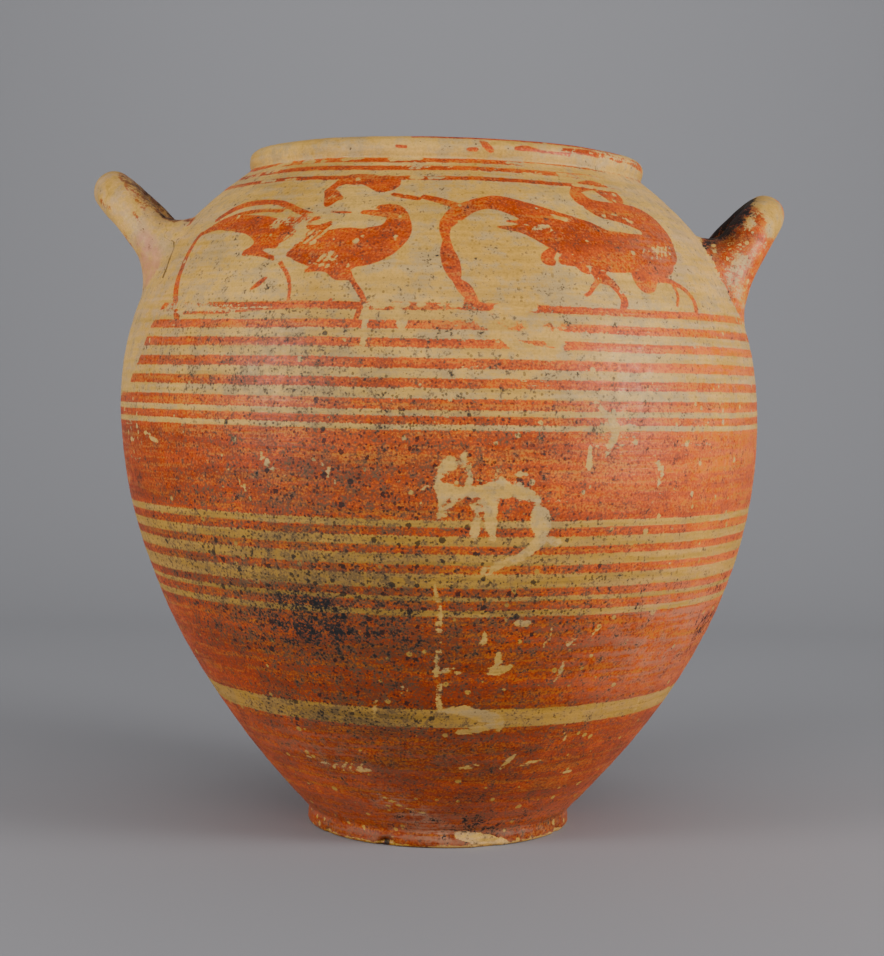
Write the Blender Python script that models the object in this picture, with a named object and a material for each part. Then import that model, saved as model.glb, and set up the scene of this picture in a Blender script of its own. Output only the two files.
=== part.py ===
"""A fired clay stamnos: a wide round storage jar on a low disc foot, with a short thick lip and two
loop handles that stand up from its shoulder. Foot, body, lip and handles were joined while the clay
was soft and fired as one, so the jar is one hollow solid. Lengths are in metres and angles in
degrees. +Z is up, the painted front faces -Y, and the handles stand at -X and +X."""

import math

import bmesh
import bpy
import numpy as np

# The foot is a low disc that stands on a flat ring
FOOT_RADIUS = 0.0650
FOOT_HEIGHT = 0.0078
FOOT_EDGE = 0.0008
RING_WIDTH = 0.0140
HOLLOW_DEPTH = 0.0026

# The body swells from the foot to the belly and closes to the neck
HEIGHT = 0.3303
BELLY_RADIUS = 0.1570
BELLY_HEIGHT = 0.2032
WALL = 0.0070
FLOOR = 0.0095

# The lip is a thick band with rounded edges
LIP_RADIUS = 0.0970
LIP_HEIGHT = 0.0096
LIP_WIDTH = 0.0098
LIP_OVERHANG = 0.0018
LIP_ROUND = 0.0042

# Both loop handles are bent from a rod, which is let into the wall and smoothed into it with a fillet
HANDLE_SPAN = 0.0620
ROOT_DEPTH = 0.0200
HANDLE_FILLET = 0.0120

# Each handle was made by hand, so its rod has its own thickness at the tip and at the roots, and
# flares a little more under the roots; it also has its own height, rise, reach and arch of its legs
LEFT_TIP_RADIUS = 0.0100
LEFT_ROOT_RADIUS = 0.0095
LEFT_FLARE = 0.0050
LEFT_ROOT_HEIGHT = 0.2808
LEFT_RISE = 42.0
LEFT_REACH = 0.0428
LEFT_ARCH = 0.0008
RIGHT_TIP_RADIUS = 0.0097
RIGHT_ROOT_RADIUS = 0.0120
RIGHT_FLARE = 0.0012
RIGHT_ROOT_HEIGHT = 0.2734
RIGHT_RISE = 56.7
RIGHT_REACH = 0.0396
RIGHT_ARCH = 0.0011

# The jar sagged a little before it was fired, more and more from this height up, and its belly
# bulges to the left
LEAN = 1.0
LEAN_TURN = -25.0
LEAN_START = 0.1120
BULGE = 0.0015
WANDER = 0.0019
WANDER_LENGTH = 0.3600

# A chip is gone from the foot's lower edge
CHIP_RADIUS = 0.0032
CHIP_TURN = -112.0

# The pull of the body's curves, as shares of how far each curve widens and climbs
LOWER_PULL = (0.503, 0.237)
BELLY_PULL_DOWN = 0.414
BELLY_PULL_UP = 0.536
SHOULDER_PULL = (0.505, 0.190)

# The power with which the floor inside bends up into the wall, and the share of its radius that a
# handle's fillet has used where it meets the wall
FLOOR_BEND = 8
FILLET_END = 0.88

# How finely round shapes are cut: below and above the belly outside, inside, and for looking up a
# radius, then across the floor, and round and along a handle
SIDES = 56
OUTER_STEPS = (11, 9)
INNER_STEPS = (8, 7)
LOOKUP_STEPS = (60, 60)
FLOOR_STEPS = 4
EDGE_STEPS = 4
ROD_SIDES = 16
ROD_STEPS = 12
ROOT_STEPS = 10
SWELL_ROUNDS = 12

NECK_RADIUS = LIP_RADIUS - LIP_OVERHANG
NECK_HEIGHT = HEIGHT - LIP_HEIGHT
MOUTH_RADIUS = LIP_RADIUS - LIP_WIDTH


def cubic(start, pull_start, pull_end, end, steps):
    """Points along the cubic curve that leaves start and reaches end towards its two pull points."""
    t = np.linspace(0, 1, steps + 1)[:, None]
    parts = ((1 - t) ** 3, 3 * t * (1 - t) ** 2, 3 * t**2 * (1 - t), t**3)
    corners = (start, pull_start, pull_end, end)
    return sum(part * np.array(corner) for part, corner in zip(parts, corners))


def arc(centre, radius, first, last, steps):
    """Points on a circle about centre, from the first angle to the last one."""
    turn = np.radians(np.linspace(first, last, steps + 1))
    return np.array(centre) + radius * np.stack([np.cos(turn), np.sin(turn)], 1)


def body_outline(lower_steps, shoulder_steps):
    """The body's outer line as (radius, height), from the foot over the belly to the neck."""
    foot = np.array([FOOT_RADIUS - FOOT_EDGE, FOOT_HEIGHT])
    belly = np.array([BELLY_RADIUS, BELLY_HEIGHT])
    neck = np.array([NECK_RADIUS, NECK_HEIGHT])
    swell = belly - foot
    close = belly - neck
    lower = cubic(foot, foot + swell * LOWER_PULL, belly - (0, swell[1] * BELLY_PULL_DOWN), belly,
                  lower_steps)
    shoulder = cubic(belly, belly - (0, close[1] * BELLY_PULL_UP), neck + close * SHOULDER_PULL, neck,
                     shoulder_steps)
    return np.concatenate([lower, shoulder[1:]])


def outer_profile():
    """The outside of the jar from the middle of its underside to the middle of its mouth."""
    ring = FOOT_RADIUS - RING_WIDTH
    foot = [(0, HOLLOW_DEPTH), (ring - HOLLOW_DEPTH, HOLLOW_DEPTH), (ring, 0),
            (FOOT_RADIUS - FOOT_EDGE, 0), (FOOT_RADIUS, FOOT_EDGE),
            (FOOT_RADIUS, FOOT_HEIGHT - FOOT_EDGE)]
    under = arc((NECK_RADIUS, NECK_HEIGHT + LIP_OVERHANG), LIP_OVERHANG, -90, 0, EDGE_STEPS)[1:]
    edge = arc((LIP_RADIUS - LIP_ROUND, HEIGHT - LIP_ROUND), LIP_ROUND, 0, 90, EDGE_STEPS)
    return np.concatenate([foot, body_outline(*OUTER_STEPS), under, edge, [(0, HEIGHT)]])


def inner_profile():
    """The hollow: a wall's thickness inside the body's outline, closed by the floor and open at the
    mouth, past which it runs on so that it cuts right through. The floor rises towards the wall as a
    power of the share of its radius."""
    line = body_outline(*INNER_STEPS)
    along = np.gradient(line, axis=0)
    along /= np.linalg.norm(along, axis=1)[:, None]
    inside = line + WALL * np.stack([-along[:, 1], along[:, 0]], 1)
    floor = HOLLOW_DEPTH + FLOOR
    inside = inside[inside[:, 1] > floor + WALL]
    edge, height = inside[0]
    share = np.sin(np.radians(np.linspace(0, 90, FLOOR_STEPS + 1)))[:-1]
    bottom = np.stack([edge * share, floor + (height - floor) * share**FLOOR_BEND], 1)
    mouth = arc((MOUTH_RADIUS + LIP_ROUND, HEIGHT - LIP_ROUND), LIP_ROUND, 180, 90, EDGE_STEPS)
    above = HEIGHT + LIP_HEIGHT
    top = [(mouth[-1, 0], above), (0, above)]
    return np.concatenate([bottom, inside, [(MOUTH_RADIUS, NECK_HEIGHT)], mouth, top])


def sagged(points):
    """Lets the soft clay settle: each level shifts sideways with its height and tips the same way."""
    x, y, z = points.T
    share = np.clip((z - LEAN_START) / (HEIGHT - LEAN_START), 0, None)
    tip = math.radians(LEAN) * share**2
    drift = math.radians(LEAN) * (HEIGHT - LEAN_START) * share**3 / 3
    sway = WANDER * np.sin(math.tau * z / WANDER_LENGTH) - BULGE * np.sin(math.pi * z / HEIGHT)
    turn = math.radians(LEAN_TURN)
    out = x * math.cos(turn) + y * math.sin(turn)
    return np.stack([x + drift * math.cos(turn) + sway, y + drift * math.sin(turn),
                     z - out * np.sin(tip)], 1)


def turned(name, profile):
    """An object whose profile of (radius, height) is spun once round Z, then sagged."""
    shape = bmesh.new()
    line = [shape.verts.new((radius, 0, height)) for radius, height in profile]
    edges = [shape.edges.new(pair) for pair in zip(line, line[1:])]
    bmesh.ops.spin(shape, geom=line + edges, cent=(0, 0, 0), axis=(0, 0, 1), angle=math.tau,
                   steps=SIDES, use_merge=True)
    bmesh.ops.remove_doubles(shape, verts=shape.verts, dist=0.00001)
    bmesh.ops.recalc_face_normals(shape, faces=shape.faces)
    moved = sagged(np.array([corner.co for corner in shape.verts]))
    for corner, place in zip(shape.verts, moved):
        corner.co = place
    mesh = bpy.data.meshes.new(name)
    shape.to_mesh(mesh)
    shape.free()
    return place_object(name, mesh)


def place_object(name, mesh):
    made = bpy.data.objects.new(name, mesh)
    bpy.context.collection.objects.link(made)
    return made


def clearance_to_body(points):
    """How far each point stands out from the body's surface, before the sag; less than 0 is inside."""
    line = body_outline(*LOOKUP_STEPS)
    x, y, z = points[..., 0], points[..., 1], points[..., 2]
    radius = np.interp(z, line[:, 1], line[:, 0])
    lean = np.interp(z, line[:, 1], np.gradient(line[:, 0], line[:, 1]))
    return (np.hypot(x, y) - radius) / np.sqrt(1 + lean**2)


def handle_path(reach):
    """The rod's middle line as (distance out from the wall, distance across): straight where it is let
    into the wall, and half an ellipse outside it, with its points closest together near the roots."""
    half = HANDLE_SPAN / 2
    turn = np.radians(np.linspace(-90, 90, ROD_STEPS + 1))
    near = np.linspace(turn[0], turn[1], ROOT_STEPS // 2)[:-1]
    let_in = -ROOT_DEPTH * np.linspace(1, 0, ROOT_STEPS)[:-1]
    first = np.concatenate([let_in, reach * np.cos(near)])
    across = np.concatenate([np.full(len(let_in), -half), half * np.sin(near)])
    bend = turn[1:-1]
    return np.stack([np.concatenate([first, reach * np.cos(bend), first[::-1]]),
                     np.concatenate([across, half * np.sin(bend), -across[::-1]])], 1)


def handle(name, side, tip_radius, root_radius, flare, root_height, rise, reach, arch):
    """A rod carried along its path, in a plane that rises away from the shoulder. Its radius changes
    with the distance across, its legs arch by a half wave of a sine, and its lower side flares by the
    square of the way back from the tip. Near the wall it swells as a round fillet: with d the
    distance to the wall and f the fillet's radius, it grows by f - sqrt(f^2 - (f - d)^2), worked out
    in rounds because the distance changes as the rod grows."""
    line = body_outline(*LOOKUP_STEPS)
    body_radius = np.interp(root_height, line[:, 1], line[:, 0])
    root = np.array([side * math.sqrt(body_radius**2 - HANDLE_SPAN**2 / 4), 0, root_height])
    out = np.array([side * math.cos(math.radians(rise)), 0, math.sin(math.radians(rise))])
    across = np.array([0, 1, 0])
    up = side * np.cross(out, across)

    path = handle_path(reach)
    share = np.clip(path[:, :1] / reach, 0, 1)
    centre = root + path[:, :1] * out + path[:, 1:] * across + arch * np.sin(math.pi * share) * up
    run = np.gradient(path, axis=0)
    run /= np.linalg.norm(run, axis=1)[:, None]
    outward = run[:, 1:] * out - run[:, :1] * across

    spin = math.tau * np.arange(ROD_SIDES) / ROD_SIDES
    radius = tip_radius + (root_radius - tip_radius) * np.abs(path[:, 1:]) / (HANDLE_SPAN / 2)
    rod = radius + flare * (1 - share) ** 2 * np.clip(-np.sin(spin), 0, None) ** 2
    spoke = outward[:, None] * np.cos(spin)[:, None] + up * np.sin(spin)[:, None]
    swell = np.zeros(rod.shape)
    for _ in range(SWELL_ROUNDS):
        points = centre[:, None] + (rod + swell)[..., None] * spoke
        near = np.clip(HANDLE_FILLET - clearance_to_body(points), 0, FILLET_END * HANDLE_FILLET)
        swell = (swell + HANDLE_FILLET - np.sqrt(HANDLE_FILLET**2 - near**2)) / 2

    rings = len(centre)
    index = np.arange(rings * ROD_SIDES).reshape(rings, ROD_SIDES)
    following = np.roll(index, -1, axis=1)
    quads = np.stack([index[:-1], following[:-1], following[1:], index[1:]], 2).reshape(-1, 4)
    mesh = bpy.data.meshes.new(name)
    mesh.from_pydata(sagged(points.reshape(-1, 3)), [],
                     quads.tolist() + [index[0].tolist(), index[-1].tolist()])
    shape = bmesh.new()
    shape.from_mesh(mesh)
    bmesh.ops.recalc_face_normals(shape, faces=shape.faces)
    shape.to_mesh(mesh)
    shape.free()
    return place_object(name, mesh)


def chip():
    """A rough ball that takes a nick out of the foot's lower edge."""
    turn = math.radians(CHIP_TURN)
    shape = bmesh.new()
    bmesh.ops.create_icosphere(shape, subdivisions=2, radius=CHIP_RADIUS)
    mesh = bpy.data.meshes.new("foot_chip")
    shape.to_mesh(mesh)
    shape.free()
    made = place_object("foot_chip", mesh)
    made.location = (FOOT_RADIUS * math.cos(turn), FOOT_RADIUS * math.sin(turn), -CHIP_RADIUS / 3)
    return made


def fired_clay():
    clay = bpy.data.materials.new("buff clay with orange slip")
    clay.use_nodes = True
    shader = clay.node_tree.nodes["Principled BSDF"]
    shader.inputs["Base Color"].default_value = (0.52, 0.27, 0.11, 1)
    shader.inputs["Roughness"].default_value = 0.6
    shader.inputs["Metallic"].default_value = 0
    return clay


def stamnos():
    """Joins the handles to the solid jar, then cuts the hollow and the chip out of both."""
    jar = turned("stamnos", outer_profile())
    left = handle("left_handle", -1, LEFT_TIP_RADIUS, LEFT_ROOT_RADIUS, LEFT_FLARE,
                  LEFT_ROOT_HEIGHT, LEFT_RISE, LEFT_REACH, LEFT_ARCH)
    right = handle("right_handle", 1, RIGHT_TIP_RADIUS, RIGHT_ROOT_RADIUS, RIGHT_FLARE,
                   RIGHT_ROOT_HEIGHT, RIGHT_RISE, RIGHT_REACH, RIGHT_ARCH)
    hollow = turned("hollow", inner_profile())
    nick = chip()
    for helper, operation in ((left, "UNION"), (right, "UNION"), (hollow, "DIFFERENCE"),
                              (nick, "DIFFERENCE")):
        helper.hide_render = True
        helper.display_type = "WIRE"
        join = jar.modifiers.new(helper.name, "BOOLEAN")
        join.operation = operation
        join.solver = "EXACT"
        join.object = helper

    corners = np.array([corner.co for piece in (jar, left, right) for corner in piece.data.vertices])
    middle = (corners.min(axis=0) + corners.max(axis=0)) / 2
    for piece in (jar, left, right, hollow, nick):
        piece.location.x -= middle[0]
        piece.location.y -= middle[1]
    jar.data.materials.append(fired_clay())
    jar.data.shade_smooth()
    jar.data.set_sharp_from_angle(angle=math.radians(40))


for leftover in list(bpy.data.objects):
    bpy.data.objects.remove(leftover)
stamnos()
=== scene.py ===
import math

import bpy
import numpy as np
from mathutils import Matrix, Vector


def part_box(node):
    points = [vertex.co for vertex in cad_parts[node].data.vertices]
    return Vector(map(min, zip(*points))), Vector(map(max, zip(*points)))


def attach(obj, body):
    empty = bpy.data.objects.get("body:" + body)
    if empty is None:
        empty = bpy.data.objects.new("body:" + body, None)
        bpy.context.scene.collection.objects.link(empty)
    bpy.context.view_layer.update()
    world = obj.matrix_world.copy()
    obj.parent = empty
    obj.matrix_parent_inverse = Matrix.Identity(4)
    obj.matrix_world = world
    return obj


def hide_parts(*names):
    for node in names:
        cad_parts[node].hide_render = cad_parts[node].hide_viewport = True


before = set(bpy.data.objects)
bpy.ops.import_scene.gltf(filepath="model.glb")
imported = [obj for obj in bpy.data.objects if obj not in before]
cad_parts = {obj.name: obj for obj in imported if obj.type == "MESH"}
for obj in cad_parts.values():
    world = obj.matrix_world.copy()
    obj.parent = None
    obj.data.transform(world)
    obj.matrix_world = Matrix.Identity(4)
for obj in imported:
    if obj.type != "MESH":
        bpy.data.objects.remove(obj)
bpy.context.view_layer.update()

# The view. The camera stands a metre in front of the jar, level with the upper belly, tips down
# a little and is turned by a fraction of a degree.
LENS_IN_PIXELS = 1926
IMAGE_LONG_SIDE = 956
SENSOR_WIDTH = 36
CAMERA_PLACE = (0.00355, -0.963, 0.2182)
CAMERA_TIP = 87.242
CAMERA_ROLL = 0.8


def placed(name, data):
    """A new object in the scene with this mesh, lamp or camera as its data."""
    made = bpy.data.objects.new(name, data)
    bpy.context.scene.collection.objects.link(made)
    return made


camera_data = bpy.data.cameras.new("camera")
camera_data.sensor_width = SENSOR_WIDTH
camera_data.lens = SENSOR_WIDTH * LENS_IN_PIXELS / IMAGE_LONG_SIDE
camera = placed("camera", camera_data)
camera.matrix_world = (Matrix.Translation(CAMERA_PLACE)
                       @ Matrix.Rotation(math.radians(CAMERA_TIP), 4, "X")
                       @ Matrix.Rotation(math.radians(CAMERA_ROLL), 4, "Z"))
bpy.context.scene.camera = camera

# The jar's body, foot and lip. They were thrown on a wheel in buff clay as one piece, on a low disc
# foot, with a thick rounded lip, and sagged a little before they were fired.
FOOT_RADIUS = 0.0650
FOOT_HEIGHT = 0.0078
FOOT_EDGE = 0.0008
FOOT_BLEND = 0.0060
RING_WIDTH = 0.0140
RING_SLOPE = 3
HOLLOW_DEPTH = 0.0026
HEIGHT = 0.3303
BELLY_RADIUS = 0.1570
BELLY_HEIGHT = 0.2032
WALL = 0.0070
FLOOR = 0.0095
LIP_RADIUS = 0.0970
LIP_HEIGHT = 0.0096
LIP_WIDTH = 0.0098
LIP_OVERHANG = 0.0018
LIP_ROUND = 0.0042
LEAN = 1.0
LEAN_TURN = -25.0
LEAN_START = 0.1120
BULGE = 0.0015
WANDER = 0.0019
WANDER_LENGTH = 0.3600
LOWER_PULL = (0.503, 0.237)
BELLY_PULL_DOWN = 0.414
BELLY_PULL_UP = 0.536
SHOULDER_PULL = (0.505, 0.190)
OUTLINE_STEPS = 240
FLOOR_BEND = 8
NECK_RADIUS = LIP_RADIUS - LIP_OVERHANG
NECK_HEIGHT = HEIGHT - LIP_HEIGHT
MOUTH_RADIUS = LIP_RADIUS - LIP_WIDTH
FRIEZE_FOOT = 0.2360
LOWER_STEP = 0.0026
FRIEZE_STEP = 0.00175
FOOT_STEP = 0.0011
LIP_STEP = 0.0009
LIP_WEAR = 7
NECK_STEP = 0.0016
INSIDE_STEP = 0.0080
SETTLING_ROUNDS = 6
FRONT_SPREAD = 150
FRONT_COLUMNS = 308
BACK_COLUMNS = 260


def cubic(start, pull_start, pull_end, end):
    """Points along the cubic curve that leaves start and reaches end towards its two pull points."""
    t = np.linspace(0, 1, OUTLINE_STEPS + 1)[:, None]
    parts = ((1 - t) ** 3, 3 * t * (1 - t) ** 2, 3 * t**2 * (1 - t), t**3)
    corners = (start, pull_start, pull_end, end)
    return sum(part * np.array(corner) for part, corner in zip(parts, corners))


def arc(centre, radius, first, last, steps):
    """Points on a circle about centre, from the first angle to the last one."""
    turn = np.radians(np.linspace(first, last, steps + 1))
    return np.array(centre) + radius * np.stack([np.cos(turn), np.sin(turn)], 1)


def body_outline():
    """The body's outer line as (radius, height): a cubic up to the belly and one on to the neck."""
    foot = np.array([FOOT_RADIUS - FOOT_EDGE, FOOT_HEIGHT])
    belly = np.array([BELLY_RADIUS, BELLY_HEIGHT])
    neck = np.array([NECK_RADIUS, NECK_HEIGHT])
    swell, close = belly - foot, belly - neck
    lower = cubic(foot, foot + swell * LOWER_PULL, belly - (0, swell[1] * BELLY_PULL_DOWN), belly)
    shoulder = cubic(belly, belly - (0, close[1] * BELLY_PULL_UP), neck + close * SHOULDER_PULL, neck)
    return np.concatenate([lower, shoulder[1:]])


def length_along(line):
    """How far along the line each of its points lies."""
    return np.concatenate([[0], np.cumsum(np.hypot(*np.diff(line, axis=0).T))])


outline = body_outline()
outline_lean = np.gradient(outline[:, 0], outline[:, 1])
outline_arc = length_along(outline)


def evenly(line, step):
    """The same line with its points a step apart, measured along it."""
    line = np.array(line, float)
    along = length_along(line)
    stations = np.linspace(0, along[-1], max(2, round(along[-1] / step) + 1))
    return np.stack([np.interp(stations, along, line[:, 0]), np.interp(stations, along, line[:, 1])], 1)


def worn(line, rounds):
    """The same line with its corners worn round: each point moves to the mean of itself and its
    neighbours, so many times over."""
    for _ in range(rounds):
        line = np.concatenate([line[:1], (line[:-2] + 2 * line[1:-1] + line[2:]) / 4, line[-1:]])
    return line


def rows_of(*parts):
    """Pieces of line and their steps as one array of (radius, height, step). A row at step 4 has
    every fourth column of the mesh, and a row at step 1 has them all."""
    return np.concatenate([np.column_stack([line, np.full(len(line), step)]) for line, step in parts])


def outer_rows():
    """The outside, from the middle of the underside to the middle of the mouth."""
    ring = FOOT_RADIUS - RING_WIDTH
    slope = (ring - RING_SLOPE * HOLLOW_DEPTH, HOLLOW_DEPTH)
    underside = evenly([(0, HOLLOW_DEPTH), slope], INSIDE_STEP)
    start = np.searchsorted(outline[:, 1], FOOT_HEIGHT + FOOT_BLEND)
    foot = worn(evenly([slope, (ring - HOLLOW_DEPTH, HOLLOW_DEPTH), (ring, 0), (FOOT_RADIUS - FOOT_EDGE, 0),
                        (FOOT_RADIUS, FOOT_EDGE), (FOOT_RADIUS, FOOT_HEIGHT - FOOT_EDGE),
                        *outline[:start]], FOOT_STEP), 2)
    frieze = np.searchsorted(outline[:, 1], FRIEZE_FOOT)
    lower = evenly(outline[start - 1:frieze], LOWER_STEP)
    throat = np.searchsorted(outline[:, 1], NECK_HEIGHT - LIP_HEIGHT / 2)
    upper = evenly(outline[frieze - 1:throat], FRIEZE_STEP)
    under = arc((NECK_RADIUS, NECK_HEIGHT + LIP_OVERHANG), LIP_OVERHANG, -90, 0, 4)
    edge = arc((LIP_RADIUS - LIP_ROUND, HEIGHT - LIP_ROUND), LIP_ROUND, 0, 90, 7)
    lip = worn(evenly([*outline[throat - 1:], *under[1:], *edge], LIP_STEP), LIP_WEAR)
    across = [(MOUTH_RADIUS * share, HEIGHT) for share in (0.9, 0.5, 0)]
    return rows_of((underside, 4), (foot[1:], 2), (lower[1:], 2), (upper[1:], 1), (lip[1:], 2), (across, 4))


def hollow_rows():
    """The hollow from the middle of the floor, up the wall and out through the mouth."""
    along = np.gradient(outline, axis=0)
    along /= np.linalg.norm(along, axis=1)[:, None]
    inside = outline + WALL * np.stack([-along[:, 1], along[:, 0]], 1)
    floor = HOLLOW_DEPTH + FLOOR
    inside = inside[inside[:, 1] > floor + WALL]
    edge, height = inside[0]
    share = np.sin(np.radians(np.linspace(0, 90, 25)))[:-1]
    bottom = np.stack([edge * share, floor + (height - floor) * share**FLOOR_BEND], 1)
    wall = evenly(np.concatenate([bottom, inside]), INSIDE_STEP)
    mouth = arc((MOUTH_RADIUS + LIP_ROUND, HEIGHT - LIP_ROUND), LIP_ROUND, 180, 94, 7)
    above = HEIGHT + LIP_HEIGHT
    neck = evenly([inside[-1], (MOUTH_RADIUS, NECK_HEIGHT), mouth[0]], NECK_STEP)
    return rows_of((wall[:-1], 4), (neck, 2), (mouth[1:], 2), ([(mouth[-1, 0], above), (0, above)], 4))


def sagged(points):
    """Lets the soft clay settle: each level shifts sideways by a sum of a cubic drift and two sine
    sways of its height, and tips by an angle that grows with the square of the height."""
    x, y, z = points.T
    share = np.clip((z - LEAN_START) / (HEIGHT - LEAN_START), 0, None)
    tip = math.radians(LEAN) * share**2
    drift = math.radians(LEAN) * (HEIGHT - LEAN_START) * share**3 / 3
    sway = WANDER * np.sin(math.tau * z / WANDER_LENGTH) - BULGE * np.sin(math.pi * z / HEIGHT)
    turn = math.radians(LEAN_TURN)
    out = x * math.cos(turn) + y * math.sin(turn)
    return np.stack([x + drift * math.cos(turn) + sway, y + drift * math.sin(turn),
                     z - out * np.sin(tip)], 1)


def unsagged(points):
    """Where sagged points came from, by taking off the shift that each guess would have had."""
    guess = points
    for _ in range(SETTLING_ROUNDS):
        guess = guess + points - sagged(guess)
    return guess


def triangles_of(*corners):
    """Triangles, given as arrays of their first, second and third corners in turn."""
    return np.concatenate([np.stack(three, 1) for three in corners])


def between_rings(low, high):
    """Triangles between two closed rings of corners. One ring is a single corner, or they have as
    many corners, or one has twice as many. Seen from outside, the rings run to the right and high
    is above low."""
    low_next, high_next = np.roll(low, -1), np.roll(high, -1)
    if len(low) == 1:
        return triangles_of((np.repeat(low, len(high)), high_next, high))
    if len(high) == 1:
        return triangles_of((low, low_next, np.repeat(high, len(low))))
    if len(low) == len(high):
        return triangles_of((low, low_next, high_next), (low, high_next, high))
    if len(low) < len(high):
        first, middle, last = high[::2], high[1::2], np.roll(high[::2], -1)
        return triangles_of((low, middle, first), (low, low_next, middle), (low_next, last, middle))
    first, middle, last = low[::2], low[1::2], np.roll(low[::2], -1)
    return triangles_of((first, middle, high), (middle, high_next, high), (middle, last, high_next))


def shell(name, points, rings, flat_places, order):
    """An object from rings of corners and each corner's (across, up) place on the flattened surface.
    Order -1 turns the triangles round. Where one spans the flattened surface's seam, 1 is added to
    its small places across."""
    triangles = np.concatenate([between_rings(low, high) for low, high in zip(rings, rings[1:])])
    triangles = triangles[:, ::order]
    mesh = bpy.data.meshes.new(name)
    mesh.from_pydata(points.tolist(), [], triangles.tolist())
    across = flat_places[triangles, 0]
    across = np.where((np.ptp(across, axis=1) > 0.5)[:, None] & (across < 0.5), across + 1, across)
    places = np.stack([across, flat_places[triangles, 1]], 2)
    mesh.uv_layers.new(name="OFBake").data.foreach_set("uv", places.ravel())
    return placed(name, mesh)


# The columns of the mesh, as turns from the front, start and end behind and lie closer in front
half_front = math.radians(FRONT_SPREAD / 2)
turns = np.concatenate([np.linspace(-half_front, half_front, FRONT_COLUMNS, endpoint=False),
                        np.linspace(half_front, math.tau - half_front, BACK_COLUMNS, endpoint=False)])
turns = np.roll(turns, BACK_COLUMNS // 2)
turns = np.where(turns >= math.pi, turns - math.tau, turns)


def turned(name, rows, flat_low, flat_high):
    """Rings of corners, one for each row, and the triangles between them. The flattened surface
    takes the heights from flat_low to flat_high."""
    along = length_along(rows[:, :2])
    up = flat_low + (flat_high - flat_low) * along / along[-1]
    points, places, rings, start = [], [], [], 0
    for (r, z, step), level in zip(rows, up):
        turn = turns[::int(step)] if r > 0 else np.zeros(1)
        points.append(np.stack([r * np.sin(turn), -r * np.cos(turn), np.full(len(turn), z)], 1))
        places.append(np.stack([turn / math.tau + 0.5, np.full(len(turn), level)], 1))
        rings.append(np.arange(start, start + len(turn)))
        start += len(turn)
    return shell(name, sagged(np.concatenate(points)), rings, np.concatenate(places), 1)


# On the flattened surface the outside lies lowest, then the hollow, then the two handles side by side
jar = turned("stamnos_clay", outer_rows(), 0.0, 0.76)
hollow = turned("hollow", hollow_rows(), 0.77, 0.87)

# The two loop handles. Each was bent from a rod of clay, pushed onto the soft shoulder and smoothed
# into it with wet fingers, so each has its own thickness, height and rise.
HANDLE_SPAN = 0.0620
ROOT_DEPTH = 0.0200
HANDLE_FILLET = 0.0120
FILLET_END = 0.985
FILLET_ROUNDS = 16
ROD_SIDES = 44
ROD_STEPS = 52
ROOT_STEPS = 12
FLAT_START = 0.885
FLAT_HEIGHT = 0.11
FLAT_ENDS = (0.005, 0.485)
# Side, radius at the tip and at the roots, flare under the roots, height of the roots, rise in
# degrees, reach and arch
LEFT_HANDLE = (-1, 0.0100, 0.0095, 0.0050, 0.2808, 42.0, 0.0428, 0.0008)
RIGHT_HANDLE = (1, 0.0097, 0.0120, 0.0012, 0.2734, 56.7, 0.0396, 0.0011)


def clearance_to_body(points):
    """How far each point stands out from the body's surface, before the sag; less than 0 is inside."""
    x, y, z = points[..., 0], points[..., 1], points[..., 2]
    radius = np.interp(z, outline[:, 1], outline[:, 0])
    lean = np.interp(z, outline[:, 1], outline_lean)
    return (np.hypot(x, y) - radius) / np.sqrt(1 + lean**2)


def handle_axes(side, root_height, rise):
    """A handle's root in the middle of its span, and its directions out, across and up."""
    body_radius = np.interp(root_height, outline[:, 1], outline[:, 0])
    root = np.array([side * math.sqrt(body_radius**2 - HANDLE_SPAN**2 / 4), 0, root_height])
    out = np.array([side * math.cos(math.radians(rise)), 0, math.sin(math.radians(rise))])
    across = np.array([0, 1, 0])
    return root, out, across, side * np.cross(out, across)


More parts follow.
